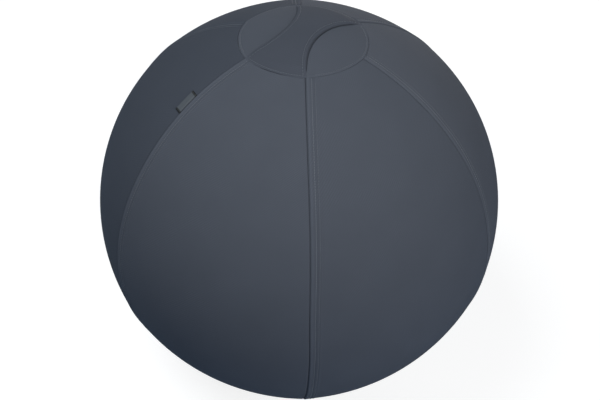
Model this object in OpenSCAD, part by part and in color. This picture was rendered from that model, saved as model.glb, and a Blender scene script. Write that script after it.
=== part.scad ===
// Sitting ball in a knitted cover: six panels, a top panel with a carry strap,
// a base with an anti-slip disc and ballast, a zip round the base seam and an
// inflated inner ball with its valve. It stands on z = 0, with the front seam
// towards -Y. Azimuths are counted from -Y towards +X.

/* [Ball] */
// Diameter of the covered ball, measured over its panel seams
ball_d = 650; // [600:5:700]
// How far the middle of a panel lies inside the seam ridges
panel_dip = 3; // [2:0.5:4]
// Thickness of the knitted cover fabric
fabric_t = 1.2; // [0.8:0.1:1.6]
// Wall of the inflated inner ball
inner_wall = 1; // [0.8:0.1:2]
// How far the ball sits down into its base
base_sink = 5; // [3:0.5:7]
// Angle of the base seam from the ball's lowest point
base_angle = 28; // [26:1:30]

/* [Top panel and carry strap] */
// Distance from the ball's axis to the corners of the top panel
cap_corner_r = 97; // [90:1:110]
// How far each side of the top panel bows out past a straight line
cap_bow = 11; // [4:0.5:12]
// Width of the strap at its waist
strap_waist = 52; // [40:1:64]
// How far the waist lies towards the strap's front end
waist_shift = 6; // [0:1:10]
// Radius of the hollow curve along each side of the strap
strap_side_r = 128; // [110:1:150]
// Clear height under the middle of the strap
strap_rise = 2.5; // [1.5:0.5:10]
// Distance of the strap's hem stitches from its edge
strap_hem = 7; // [4:0.5:10]

/* [Seams] */
// Width of the seam allowance folded inside each panel seam
allowance_w = 16; // [14:0.5:20]
// Distance of the first topstitch row from the seam
first_row = 8; // [5:0.5:9]
// Distance of the second topstitch row from the seam
second_row = 13; // [10:0.5:13.5]
// Distance of the stitches along the top panel and base panel from their seams
cap_row = 5; // [3:0.5:6]
// Thickness of the sewing thread
thread_t = 0.6; // [0.4:0.1:0.8]

/* [Side label] */
// Length of the folded label along the seam
label_l = 36; // [20:1:50]
// How far the label stands out of the seam
label_w = 11; // [8:0.5:16]
// Thickness of the folded label
label_t = 1; // [0.6:0.1:1.4]
// Distance along the seam from the top panel's corner to the middle of the label
label_drop = 102; // [60:1:160]

/* [Zip] */
// Part of the base seam that the zip opens, in degrees
zip_sweep = 196; // [194:1:220]
// Width of the opening between the fabric edges along the zip
zip_gap = 11; // [10.5:0.5:13]
// Width of each zip tape
tape_w = 14; // [12:0.5:18]
// Thickness of the zip tapes
tape_t = 0.6; // [0.4:0.1:0.8]
// Width of each half of the coil
coil_w = 2.4; // [2:0.1:2.6]
// Thickness of the coil
coil_t = 2.4; // [2:0.1:3]
// Gap between the two coil halves, where the slider's post runs
coil_split = 1.2; // [1:0.1:1.6]
// Length of the slider along the zip
slider_l = 14; // [10:0.5:18]
// Width of the slider across the zip
slider_w = 9; // [8.8:0.1:9.6]
// Thickness of the slider's two plates
plate_t = 1.3; // [1:0.1:1.6]
// Length of the pull tab
pull_l = 24; // [18:1:26]
// Width of the pull tab
pull_w = 7; // [6:0.5:8]
// Thickness of the pull tab
pull_t = 1.4; // [1:0.1:1.6]
// Thickness of the fabric guard behind the zip
guard_t = 0.8; // [0.6:0.1:1]

/* [Base] */
// Thickness of the anti-slip disc
disc_t = 2; // [1.5:0.1:3]
// How far the disc stands out past the base panel's edge
disc_lip = 2; // [1:0.5:4]
// Height of the space for the ballast between disc and inner ball
ballast_h = 19.6; // [14:0.2:20]
// Radius of the hole in the middle of the ballast ring
ballast_hole_r = 36; // [24:1:44]
// Radius of the ballast ring's rounded edges
ballast_round = 7; // [4:0.5:8]
// Thickness of the ballast ring's sleeve
sleeve_t = 0.8; // [0.6:0.1:1.2]

/* [Valve] */
// Radius of the plug's stem
stem_r = 4.5; // [3.5:0.1:6]
// Length of the plug's stem
stem_l = 16; // [10:0.5:20]
// Radius of the plug's head
head_r = 8; // [7:0.5:10]
// Thickness of the plug's head
head_t = 2.2; // [1.6:0.1:2.4]
// Wall of the valve's tube
valve_wall = 3; // [2:0.2:4]
// Radius of the valve's bonded flange
flange_r = 15; // [13:0.5:20]
// Thickness of the valve's bonded flange
flange_t = 1.2; // [0.8:0.1:2]

/* [Clearances] */
// Gap between layers that are sewn or bonded together
lay_gap = 0.1; // [0.06:0.02:0.2]
// Gap between pieces that move on each other
run_gap = 0.3; // [0.25:0.01:0.4]
// Radial clearance of the plug's stem in its tube
stem_gap = 0.1; // [0.05:0.01:0.1]

/* [Hidden] */
$fn = 96;

panel_count = 6;
half_panel = 180/panel_count;
seam_r = ball_d/2;
mid_r = seam_r - panel_dip;
// The axis of each panel's surface lies this far behind the ball's own
axis_shift = panel_dip/(1 - cos(half_panel));
centre_z = seam_r - base_sink;
far = ball_d;

// Top panel: its sides are arcs, whose mirrored circles all meet at the corners
cap_r = mid_r + 1;
cap_chord = 2*cap_corner_r*sin(half_panel);
cap_side_r = (pow(cap_chord/2, 2) + pow(cap_bow, 2))/(2*cap_bow);
cap_mid_r = cap_corner_r*cos(half_panel) + cap_bow;

// Strap: a shallow dome that leaves the top panel at its sewn ends
strap_azimuth = -half_panel;
strap_end_r = cap_corner_r - 2;
strap_end_z = sqrt(pow(cap_r, 2) - pow(strap_end_r, 2)) + run_gap;
strap_sagitta = cap_r + strap_rise - strap_end_z;
strap_dome_r = (pow(strap_end_r, 2) + pow(strap_sagitta, 2))/(2*strap_sagitta);
strap_dome_z = centre_z + cap_r + strap_rise - strap_dome_r;
strap_side_x = strap_waist/2 + strap_side_r;

// Side on which each seam's allowance is folded and stitched
fold_side = [1, 1, 1, 1, 1, 1];
// Stitch rows beside a seam start at the top panel and end above the base seam
row_from = asin((cap_corner_r + 1)/mid_r);
row_to = 180 - base_angle - asin((zip_gap/2 + 1)/mid_r);
label_azimuth = 300;
label_angle = asin(cap_corner_r/cap_r) + label_drop/cap_r*180/PI;

// Base: a cone that leaves the ball at the base seam and runs down to the disc
base_r = mid_r*sin(base_angle);
base_z = centre_z - mid_r*cos(base_angle);
skirt_foot_z = disc_t + lay_gap;
skirt_foot_t = -(base_z - skirt_foot_z)/sin(base_angle);
skirt_foot_r = base_r + skirt_foot_t*cos(base_angle);
disc_r = skirt_foot_r + disc_lip;
// Point at t along the base's slope, upwards from the seam, and n outwards from it
function slope(t, n) = [base_r + t*cos(base_angle) + n*sin(base_angle),
                        base_z + t*sin(base_angle) - n*cos(base_angle)];

// Zip: depths are counted outwards from the cover's outer face
zip_start = -(zip_sweep - 180)/2;
tape_top_n = -fabric_t - lay_gap;
coil_low_n = tape_top_n + lay_gap;
coil_high_n = coil_low_n + coil_t;
plate_high_n = coil_high_n + run_gap;
slider_top_n = plate_high_n + plate_t;
plate_low_n = tape_top_n - tape_t - run_gap;
slider_low_n = plate_low_n - plate_t;
guard_top_n = slider_low_n - run_gap;
guard_low_n = guard_top_n - guard_t;
slider_half = asin(slider_l/2/base_r);
// Seam allowances are trimmed above the zip's upper tape
allowance_low_z = slope(coil_split/2 + run_gap + tape_w + 6, 0)[1];
post_w = coil_split - 2*run_gap;
// Stops: wire thickness, length along the zip and free space, the last two in degrees
stop_t = 0.8;
stop_sweep = 1;
stop_space = 0.6;
// Crown over the slider, with the pull tab's bar in its tunnel
bar_r = pull_t/2;
bar_n = slider_top_n + run_gap + bar_r;
crown_inner_n = bar_n + bar_r + run_gap;
crown_t = 1;
crown_w = 2.6;
crown_l = 8;
eye_l = 7;

// Inner ball: its bottom follows the guard's cone, then the ballast's top
inner_r = mid_r - 2*fabric_t - run_gap;
inner_cone_n = guard_low_n - run_gap;
inner_flat_z = disc_t + ballast_h;
ballast_out_r = skirt_foot_r - 2;
ballast_low_z = disc_t + lay_gap;
ballast_high_z = inner_flat_z - run_gap;
tube_r = stem_r + stem_gap + valve_wall;
head_high_z = inner_flat_z - run_gap;

cover_colour = [0.25, 0.28, 0.33];
side_colour = [0.20, 0.23, 0.27];
thread_colour = [0.12, 0.13, 0.15];
trim_colour = [0.08, 0.08, 0.09];

// Shell piece of the panel with its middle at this azimuth, "out" above its face
module panel_shell(azimuth, out, t) {
    rotate([0, 0, azimuth])
        translate([0, axis_shift, centre_z])
            rotate([0, 0, -90 - half_panel - 10])
                rotate_extrude(angle = 2*half_panel + 20)
                    intersection() {
                        difference() {
                            translate([axis_shift, 0])
                                circle(r = mid_r + out);
                            translate([axis_shift, 0])
                                circle(r = mid_r + out - t);
                        }
                        translate([axis_shift + cap_corner_r/2, -far])
                            square([far, 2*far]);
                    }
}

// Upright wedge between two seams, a hair narrower than the panel
module panel_wedge(azimuth) {
    reach = far*tan(half_panel);
    rotate([0, 0, azimuth])
        translate([0, -lay_gap, 0])
            linear_extrude(height = far)
                polygon([[0, 0], [-reach, -far], [reach, -far]]);
}

// Slab from "a" to "b" beside the seam at this azimuth, on one side of it
module seam_slab(azimuth, side, a, b, low_z) {
    rotate([0, 0, azimuth])
        translate([side > 0 ? a : -b, -far, low_z])
            cube([b - a, far, far]);
}

// Upright prism with the outline of the top panel, grown by "grow"
module cap_prism(grow) {
    intersection_for (k = [0 : panel_count - 1])
        rotate([0, 0, half_panel + k*2*half_panel])
            translate([0, cap_side_r - cap_mid_r, centre_z])
                cylinder(r = cap_side_r + grow, h = far);
}

// Space above the base seam, which starts higher along the zip
module above_base() {
    reach_t = 60;
    reach_n = 30;
    difference() {
        translate([-far, -far, slope(-reach_t/2, 0)[1]])
            cube(2*far);
        slope_band(-reach_t, 0, -reach_n, reach_n, 0, 360);
        slope_band(-reach_t, zip_gap/2, -reach_n, reach_n, zip_start, zip_sweep);
    }
}

module panel(azimuth) {
    before = round((azimuth - half_panel)/(2*half_panel));
    after = (before + 1) % panel_count;
    difference() {
        intersection() {
            union() {
                panel_shell(azimuth, 0, fabric_t);
                if (fold_side[before] > 0)
                    intersection() {
                        panel_shell(azimuth, 0, 2*fabric_t);
                        seam_slab(azimuth - half_panel, 1, 0, allowance_w, allowance_low_z);
                    }
                if (fold_side[after] < 0)
                    intersection() {
                        panel_shell(azimuth, 0, 2*fabric_t);
                        seam_slab(azimuth + half_panel, -1, 0, allowance_w, allowance_low_z);
                    }
            }
            panel_wedge(azimuth);
            above_base();
        }
        cap_prism(lay_gap);
    }
}

module panel_front_right() { color(cover_colour) panel(30); }
module panel_right() { color(side_colour) panel(90); }
module panel_back_right() { color(cover_colour) panel(150); }
module panel_back_left() { color(side_colour) panel(210); }
module panel_left() { color(side_colour) panel(270); }
module panel_front_left() { color(cover_colour) panel(330); }

module top_panel() {
    color(cover_colour)
        intersection() {
            difference() {
                translate([0, 0, centre_z])
                    sphere(r = cap_r);
                translate([0, 0, centre_z])
                    sphere(r = cap_r - fabric_t);
            }
            cap_prism(0);
        }
}

// Hourglass outline of the strap as an upright prism, its sides moved in by "inset"
module strap_prism(inset) {
    rotate([0, 0, strap_azimuth])
        difference() {
            translate([-far/4, -far/4, centre_z])
                cube([far/2, far/2, far]);
            for (side = [-1, 1])
                translate([side*strap_side_x, -waist_shift, 0])
                    cylinder(r = strap_side_r + inset, h = 2*far);
        }
}

// Layer of the strap between two heights above its underside
module strap_layer(low, high) {
    intersection() {
        difference() {
            translate([0, 0, strap_dome_z])
                sphere(r = strap_dome_r + high);
            translate([0, 0, strap_dome_z])
                sphere(r = strap_dome_r + low);
        }
        strap_prism(0);
        cap_prism(-1);
    }
}

module strap_lining() {
    color(side_colour)
        strap_layer(0, fabric_t);
}

module strap_top() {
    color(cover_colour)
        strap_layer(fabric_t + lay_gap, 2*fabric_t + lay_gap);
}

// Band of stitches "row" inside the outline of the top panel
module cap_row_band(row) {
    difference() {
        cap_prism(-row);
        cap_prism(-row - thread_t);
    }
}

// Hem rows along both sides of the strap, and a row across each sewn end
module strap_hem_thread() {
    low = 2*fabric_t + 2*lay_gap;
    color(thread_colour) {
        difference() {
            intersection() {
                strap_layer(low, low + thread_t/2);
                strap_prism(strap_hem);
                cap_prism(-cap_row - thread_t - lay_gap);
            }
            strap_prism(strap_hem + thread_t);
        }
        intersection() {
            strap_layer(low, low + thread_t/2);
            cap_row_band(cap_row);
        }
    }
}

// One stitch row: a ring about the seam plane's normal, which follows the panel
module seam_row(azimuth, side, row) {
    drop = pow(row + axis_shift*sin(half_panel), 2)/(2*(mid_r + axis_shift));
    rotate([0, 0, azimuth])
        translate([side*(row + thread_t/2), -panel_dip, centre_z])
            rotate([0, 90, 0])
                rotate([0, 0, 180 + row_from])
                    rotate_extrude(angle = row_to - row_from)
                        translate([mid_r - drop + 2*lay_gap, -thread_t/2])
                            square([thread_t/2, thread_t]);
}

module panel_seam_thread() {
    color(thread_colour)
        for (k = [0 : panel_count - 1])
            for (row = [first_row, second_row])
                seam_row(k*2*half_panel, fold_side[k], row);
}

// Stitches round the top panel, but for the two sides where the strap is sewn in
module top_seam_thread() {
    color(thread_colour)
        for (from = [0, 180])
            difference() {
                intersection() {
                    translate([0, 0, centre_z])
                        sphere(r = cap_r + lay_gap + thread_t/2);
                    cap_row_band(cap_row);
                    rotate([0, 0, from])
                        translate([0, -far/2, centre_z])
                            cube([far/2, far, far]);
                }
                translate([0, 0, centre_z])
                    sphere(r = cap_r + lay_gap);
                strap_prism(-run_gap);
            }
}

module side_label() {
    color(trim_colour)
        intersection() {
            panel_shell(label_azimuth - half_panel, lay_gap + label_t, label_t);
            seam_slab(label_azimuth, -1, lay_gap, label_w, 0);
            rotate([0, 0, label_azimuth])
                translate([0, 0, centre_z])
                    rotate([label_angle - 90, 0, 0])
                        translate([-far/2, -far, -label_l/2])
                            cube([far, far, label_l]);
        }
}

// Band of the base cone, from t0 up to t1 and from n0 out to n1
module slope_band(t0, t1, n0, n1, from, sweep) {
    rotate([0, 0, from])
        rotate_extrude(angle = sweep)
            polygon([slope(t0, n0), slope(t1, n0), slope(t1, n1), slope(t0, n1)]);
}

// Cone from the base seam down to the disc, cut back along the zip
module base_panel() {
    foot_depth = fabric_t/sin(base_angle);
    color(side_colour)
        difference() {
            rotate_extrude()
                polygon([slope(-lay_gap, -fabric_t), slope(-lay_gap, 0),
                         [skirt_foot_r, skirt_foot_z],
                         [skirt_foot_r - foot_depth, skirt_foot_z]]);
            slope_band(-zip_gap/2, zip_gap, -zip_gap, zip_gap, zip_start, zip_sweep);
        }
}

module base_seam_thread() {
    row = -zip_gap/2 - cap_row;
    color(thread_colour)
        slope_band(row - thread_t, row, lay_gap, lay_gap + thread_t/2, 0, 360);
}

module base_disc() {
    color(trim_colour)
        cylinder(r = disc_r, h = disc_t);
}

// The upper tape leans inwards a little, because the panels curve away above it
module zip_tape_upper() {
    inner_t = coil_split/2 + run_gap;
    outer_t = inner_t + tape_w;
    lean = pow(outer_t, 2)/(2*mid_r) + lay_gap;
    color(trim_colour)
        rotate([0, 0, zip_start])
            rotate_extrude(angle = zip_sweep)
                polygon([slope(inner_t, tape_top_n - tape_t), slope(inner_t, tape_top_n),
                         slope(outer_t, tape_top_n - lean),
                         slope(outer_t, tape_top_n - lean - tape_t)]);
}

module zip_tape_lower() {
    inner_t = coil_split/2 + run_gap;
    color(trim_colour)
        slope_band(-inner_t - tape_w, -inner_t, tape_top_n - tape_t, tape_top_n,
                   zip_start, zip_sweep);
}

module zip_coil_upper() {
    color(trim_colour)
        slope_band(coil_split/2, coil_split/2 + coil_w, coil_low_n, coil_high_n,
                   zip_start, zip_sweep);
}

module zip_coil_lower() {
    color(trim_colour)
        slope_band(-coil_split/2 - coil_w, -coil_split/2, coil_low_n, coil_high_n,
                   zip_start, zip_sweep);
}

// Metal staple over both coil halves
module zip_stop(from) {
    inner = coil_split/2 + coil_w + lay_gap;
    outer = inner + stop_t;
    high_n = coil_high_n + lay_gap;
    slope_band(-outer, outer, high_n, high_n + stop_t, from, stop_sweep);
    slope_band(inner, outer, coil_low_n, high_n + stop_t, from, stop_sweep);
    slope_band(-outer, -inner, coil_low_n, high_n + stop_t, from, stop_sweep);
}

module zip_stop_start() {
    color("silver")
        zip_stop(-slider_half - stop_space - stop_sweep);
}

module zip_stop_end() {
    color("silver")
        zip_stop(180 + slider_half + stop_space);
}

// Strip of cover fabric that keeps the slider off the inner ball
module zip_guard() {
    color(side_colour)
        slope_band(-tape_w, tape_w, guard_low_n, guard_top_n, zip_start, zip_sweep);
}

// Puts a shape drawn with x along the zip, y up the slope and z outwards
// in its place on the zip at the +X side
module on_zip() {
    translate([base_r, 0, base_z])
        rotate([0, 180 - base_angle, 0])
            rotate([0, 0, 90])
                children();
}

module zip_slider() {
    half = slider_w/2;
    flange_in = coil_split/2 + coil_w + run_gap;
    flange_low_n = tape_top_n + run_gap;
    from = -slider_half;
    sweep = 2*slider_half;
    color("silver") {
        slope_band(-half, half, plate_high_n, slider_top_n, from, sweep);
        slope_band(-half, half, slider_low_n, plate_low_n, from, sweep);
        slope_band(flange_in, half, flange_low_n, slider_top_n, from, sweep);
        slope_band(-half, -flange_in, flange_low_n, slider_top_n, from, sweep);
        slope_band(-post_w/2, post_w/2, slider_low_n, slider_top_n, sweep/4, sweep/6);
        slider_crown();
    }
}

// Arch along the slider, as wide as the pull tab's eye allows
module slider_crown() {
    on_zip() {
        translate([-crown_l/2, -crown_w/2, crown_inner_n])
            cube([crown_l, crown_w, crown_t]);
        for (x = [-crown_l/2, crown_l/2 - crown_t])
            translate([x, -crown_w/2, slider_top_n - plate_t/2])
                cube([crown_t, crown_w, crown_inner_n + crown_t - slider_top_n + plate_t/2]);
    }
}

// The tab hangs straight out from the slider, its bar in the crown's tunnel
module zip_pull_tab() {
    eye_w = crown_w + 2*run_gap;
    end_r = pull_w/2;
    color("silver")
        on_zip()
            translate([0, 0, bar_n]) {
                rotate([90, 0, 90])
                    linear_extrude(height = pull_t, center = true)
                        difference() {
                            union() {
                                translate([-pull_w/2, 0])
                                    square([pull_w, pull_l - end_r]);
                                translate([0, pull_l - end_r])
                                    circle(r = end_r);
                            }
                            translate([-eye_w/2, -1])
                                square([eye_w, eye_l + 1]);
                        }
                rotate([90, 0, 0])
                    cylinder(r = bar_r, h = pull_w, center = true);
            }
}

// Closed ring with rounded edges, drawn as its right half section
module ring_section(r0, r1, z0, z1, round_r) {
    translate([r0 + round_r, z0])
        square([r1 - r0 - 2*round_r, z1 - z0]);
    translate([r0, z0 + round_r])
        square([r1 - r0, z1 - z0 - 2*round_r]);
    for (x = [r0 + round_r, r1 - round_r])
        for (z = [z0 + round_r, z1 - round_r])
            translate([x, z])
                circle(r = round_r, $fn = 48);
}

module ballast_sleeve() {
    color(side_colour)
        rotate_extrude()
            difference() {
                ring_section(ballast_hole_r, ballast_out_r, ballast_low_z, ballast_high_z,
                             ballast_round);
                ring_section(ballast_hole_r + sleeve_t, ballast_out_r - sleeve_t,
                             ballast_low_z + sleeve_t, ballast_high_z - sleeve_t,
                             ballast_round - sleeve_t);
            }
}

module ballast_fill() {
    skin = sleeve_t + lay_gap;
    color("tan")
        rotate_extrude()
            ring_section(ballast_hole_r + skin, ballast_out_r - skin, ballast_low_z + skin,
                         ballast_high_z - skin, ballast_round - skin);
}

// Solid inside of the inflated ball, "inset" in from its outer face
module ball_body(inset) {
    cone_h = slope(2*ballast_h, 0)[1] + far;
    cone_low = slope(-base_z/sin(base_angle), inner_cone_n - inset);
    intersection() {
        translate([0, 0, centre_z])
            sphere(r = inner_r - inset);
        translate([0, 0, inner_flat_z + inset])
            cylinder(r = far, h = 2*far);
        translate([0, 0, cone_low[1]])
            cylinder(r1 = cone_low[0], r2 = cone_low[0] + cone_h/tan(base_angle), h = cone_h);
    }
}

module inner_ball() {
    color([0.45, 0.47, 0.50])
        difference() {
            ball_body(0);
            ball_body(inner_wall);
            cylinder(r = tube_r + lay_gap, h = inner_flat_z + 2*inner_wall);
        }
}

module valve_tube() {
    flange_z = inner_flat_z + inner_wall + lay_gap;
    color([0.30, 0.31, 0.33])
        difference() {
            union() {
                translate([0, 0, inner_flat_z])
                    cylinder(r = tube_r, h = stem_l + 4);
                translate([0, 0, flange_z])
                    cylinder(r = flange_r, h = flange_t);
            }
            translate([0, 0, inner_flat_z - 1])
                cylinder(r = stem_r + stem_gap, h = stem_l + 6);
        }
}

module valve_plug() {
    color([0.85, 0.85, 0.83]) {
        translate([0, 0, head_high_z - head_t])
            cylinder(r = head_r, h = head_t);
        translate([0, 0, head_high_z - head_t/2])
            cylinder(r = stem_r, h = stem_l + head_t/2);
    }
}

panel_front_left();
panel_front_right();
panel_right();
panel_back_right();
panel_back_left();
panel_left();
top_panel();
strap_top();
strap_lining();
strap_hem_thread();
panel_seam_thread();
top_seam_thread();
side_label();
base_panel();
base_seam_thread();
base_disc();
zip_tape_upper();
zip_tape_lower();
zip_coil_upper();
zip_coil_lower();
zip_stop_start();
zip_stop_end();
zip_guard();
zip_slider();
zip_pull_tab();
ballast_sleeve();
ballast_fill();
inner_ball();
valve_tube();
valve_plug();
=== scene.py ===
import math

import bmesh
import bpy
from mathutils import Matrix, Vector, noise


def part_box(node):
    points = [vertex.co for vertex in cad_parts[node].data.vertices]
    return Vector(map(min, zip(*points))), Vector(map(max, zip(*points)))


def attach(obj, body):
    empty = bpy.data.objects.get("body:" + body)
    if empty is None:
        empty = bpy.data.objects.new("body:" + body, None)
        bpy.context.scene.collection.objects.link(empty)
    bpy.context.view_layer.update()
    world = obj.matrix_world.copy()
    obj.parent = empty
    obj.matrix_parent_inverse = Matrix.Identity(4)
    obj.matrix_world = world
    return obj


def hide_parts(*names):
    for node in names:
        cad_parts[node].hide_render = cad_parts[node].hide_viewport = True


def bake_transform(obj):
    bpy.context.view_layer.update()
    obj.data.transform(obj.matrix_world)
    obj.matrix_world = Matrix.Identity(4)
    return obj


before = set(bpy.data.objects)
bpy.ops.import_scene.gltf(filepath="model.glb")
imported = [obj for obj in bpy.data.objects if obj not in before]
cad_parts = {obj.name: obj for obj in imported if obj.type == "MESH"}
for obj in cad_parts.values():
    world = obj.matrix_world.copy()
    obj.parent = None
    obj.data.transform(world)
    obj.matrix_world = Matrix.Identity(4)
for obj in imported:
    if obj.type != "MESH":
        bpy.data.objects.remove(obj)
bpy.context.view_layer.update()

# %% [markdown]
# # Sitting ball in a knitted cover
# An inflated ball sits inside a cover that is sewn from six curved panels, a top panel
# and a base. This lesson dresses the plain solids of that ball: it builds the cloth with
# its seams and stitches, the strap on top, the zip underneath and their finishes.
# The solids come in first and stay where they are, so every new piece is drawn in the
# same place and in metres.

# %% [markdown]
# ## The sizes that the cloth follows
# The cover is not a true sphere. Cloth that is pulled over a ball lies flatter between
# two seams than along them, so each panel is a piece of a ring surface whose axis lies a
# little behind the ball's own. These few numbers repeat the ones the solids were made
# from, because every fold and stitch is measured from them.

# %% Sizes in metres
MM = 0.001
HALF = math.radians(30)  # half of one panel's share of the circle
CENTRE_Z = 0.320
MID_R = 0.322
PANEL_DIP = 3*MM
AXIS_SHIFT = PANEL_DIP/(1 - math.cos(HALF))
CAP_R = 0.323
CAP_CORNER_R = 0.097
CAP_BOW = 0.011
CAP_SIDE_R = ((CAP_CORNER_R/2)**2 + CAP_BOW**2)/(2*CAP_BOW)
CAP_MID_R = CAP_CORNER_R*math.cos(HALF) + CAP_BOW
BASE_DEGREES = 28
BASE_ANGLE = math.radians(BASE_DEGREES)
BASE_R = MID_R*math.sin(BASE_ANGLE)
BASE_Z = CENTRE_Z - MID_R*math.cos(BASE_ANGLE)
ZIP_FROM, ZIP_TO, ZIP_GAP = 82, 278, 11*MM
CLOTH_T = 1.1*MM
STITCH_ROWS = (8.4*MM, 13.4*MM)
CAP_ROW = 3.4*MM
SEAM_DEPTH = [x*MM for x in (1.4, 0.5, 0.9, 0.6, 0.9, 0.8)]
TOP_DRIFT = -1.0
print(f"base seam radius {BASE_R:.4f} at height {BASE_Z:.4f}, top panel {CAP_MID_R:.4f}")

# %% [markdown]
# ## Camera
# The photograph looks down on the ball from a little over 40 degrees, with the front
# seam slightly right of the middle. The lens length and the distance were worked out from
# where the seams and the corners of the top panel lie, so they are set as plain numbers.
# The camera's three axes are written straight into its matrix, which also gives it
# the small roll of the picture.

# %% Camera
PICTURE_W, FOCAL_PIXELS, SENSOR_W = 600, 1031.3, 36
CAMERA_AWAY = 1.7


def rolled_axes(azimuth, elevation, roll):
    """Right, up and back axes of a camera that looks at the ball from there."""
    a, e, r = (math.radians(x) for x in (azimuth, elevation, roll))
    right = Vector((math.cos(a), math.sin(a), 0))
    back = Vector((math.sin(a)*math.cos(e), -math.cos(a)*math.cos(e), math.sin(e)))
    up = back.cross(right)
    return (right*math.cos(r) - up*math.sin(r), right*math.sin(r) + up*math.cos(r), back)


def new_object(name, data):
    obj = bpy.data.objects.new(name, data)
    bpy.context.scene.collection.objects.link(obj)
    return obj


bpy.context.scene.view_settings.view_transform = "Standard"
camera = new_object("camera", bpy.data.cameras.new("camera"))
bpy.context.scene.camera = camera
right, up, back = rolled_axes(azimuth=-3.47, elevation=41.46, roll=-1.62)
place = Vector((0, 0, CENTRE_Z)) + back*CAMERA_AWAY
camera.matrix_world = Matrix((right, up, back)).transposed().to_4x4()
camera.matrix_world.translation = place
camera.data.sensor_width = SENSOR_W
camera.data.lens = SENSOR_W*FOCAL_PIXELS/PICTURE_W
camera.data.shift_x = 1.0/PICTURE_W
camera.data.shift_y = -1.3/PICTURE_W
camera.data.clip_end = 50
print("camera at", [round(x, 3) for x in place], "lens", round(camera.data.lens, 2))

# %% [markdown]
# ## A shorthand for nodes
# The light, the floor and every finish are small networks of nodes. One helper adds a
# node and connects its inputs. Another starts a material round one Principled shader and
# sets the shader's plain numbers directly on its sockets. The others do what most
# finishes need: arithmetic, a wave, a colour between two tones, and bumps.

# %% Helpers for nodes
def add(tree, kind, inputs=(), **settings):
    """Add a node, set its properties, and give its inputs numbers or links."""
    node = tree.nodes.new(kind)
    for key, value in settings.items():
        setattr(node, key, value)
    for key, value in dict(inputs).items():
        if isinstance(value, bpy.types.NodeSocket):
            tree.links.new(value, node.inputs[key])
        else:
            node.inputs[key].default_value = value
    return node


def empty_tree(owner):
    """Node tree of a material or a world, without the nodes that it starts with."""
    owner.use_nodes = True
    owner.node_tree.nodes.clear()
    return owner.node_tree


def finish_named(name, **numbers):
    """New material with one Principled shader; returns it with its tree and shader."""
    mat = bpy.data.materials.new(name)
    tree = empty_tree(mat)
    shader = add(tree, "ShaderNodeBsdfPrincipled",
                 {key.replace("_", " "): value for key, value in numbers.items()})
    add(tree, "ShaderNodeOutputMaterial", {0: shader.outputs[0]})
    return mat, tree, shader


def maths(tree, what, a, b=0.0, c=0.0):
    return add(tree, "ShaderNodeMath", {0: a, 1: b, 2: c}, operation=what).outputs[0]


def cloudy(tree, where, scale, detail):
    """Soft noise at this place, 0 to 1."""
    return add(tree, "ShaderNodeTexNoise",
               {"Vector": where, "Scale": scale, "Detail": detail}).outputs[0]


def wave(tree, value, step):
    """Sine wave that repeats each time the value has grown by step."""
    return maths(tree, "SINE", maths(tree, "MULTIPLY", value, 2*math.pi/step))


def shade(colour, amount):
    """The same colour, this many times as bright."""
    return tuple(min(1, c*amount) for c in colour)


def colour_between(tree, shader, share, dark, light):
    """Colour the shader from dark to light as share goes from 0 to 1."""
    mix = add(tree, "ShaderNodeMix", {0: share, 6: (*dark, 1), 7: (*light, 1)},
              data_type="RGBA")
    tree.links.new(mix.outputs[2], shader.inputs["Base Color"])


def raise_bumps(tree, shader, height, strength, distance):
    bump = add(tree, "ShaderNodeBump", {"Height": height, "Strength": strength,
                                        "Distance": distance})
    tree.links.new(bump.outputs[0], shader.inputs["Normal"])


# %% [markdown]
# ## Light and floor
# The photographed ball is brightest on its upper front and turns darker, and bluer,
# towards its underside. Two large soft lamps give that: one in front on the right, low,
# and a stronger one high on the left. Two weaker lamps keep the far side readable. The
# floor sends a little blue light up to the underside. What the camera itself sees of it
# is neutral and glows on top of its light, so the page looks white while the ball's
# shadow stays on it.

# %% World
def split_by_camera(tree, output, lit, seen):
    """Let the camera see one shader while the other one lights the scene."""
    ray = add(tree, "ShaderNodeLightPath").outputs["Is Camera Ray"]
    mix = add(tree, "ShaderNodeMixShader", {0: ray, 1: lit.outputs[0], 2: seen.outputs[0]})
    add(tree, output, {0: mix.outputs[0]})


world = bpy.data.worlds.new("studio")
bpy.context.scene.world = world
sky = empty_tree(world)
split_by_camera(sky, "ShaderNodeOutputWorld",
                lit=add(sky, "ShaderNodeBackground",
                        {"Color": (0.52, 0.80, 1.0, 1), "Strength": 0.04}),
                seen=add(sky, "ShaderNodeBackground", {"Color": (1, 1, 1, 1)}))

# %% Lamps
LAMP_SIZE, LAMP_AWAY = 1.6, 2.6


def soft_lamp(name, azimuth, elevation, power, colour):
    """A large square lamp in this direction that points at the ball."""
    lamp = bpy.data.lights.new(name, "AREA")
    lamp.size = LAMP_SIZE
    lamp.energy = power
    lamp.color = colour
    obj = new_object(name, lamp)
    away = rolled_axes(azimuth, elevation, 0)[2]
    obj.location = Vector((0, 0, CENTRE_Z)) + away*LAMP_AWAY
    obj.rotation_euler = away.to_track_quat("Z", "Y").to_euler()


soft_lamp("front_lamp", 36, 28, 36, (0.97, 0.99, 1.0))
soft_lamp("high_lamp", -80, 64, 46, (0.92, 0.97, 1.0))
soft_lamp("back_lamp", 165, 6, 20, (1.0, 0.95, 0.95))
soft_lamp("left_lamp", -125, 5, 2, (0.75, 0.9, 1.0))

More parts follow.
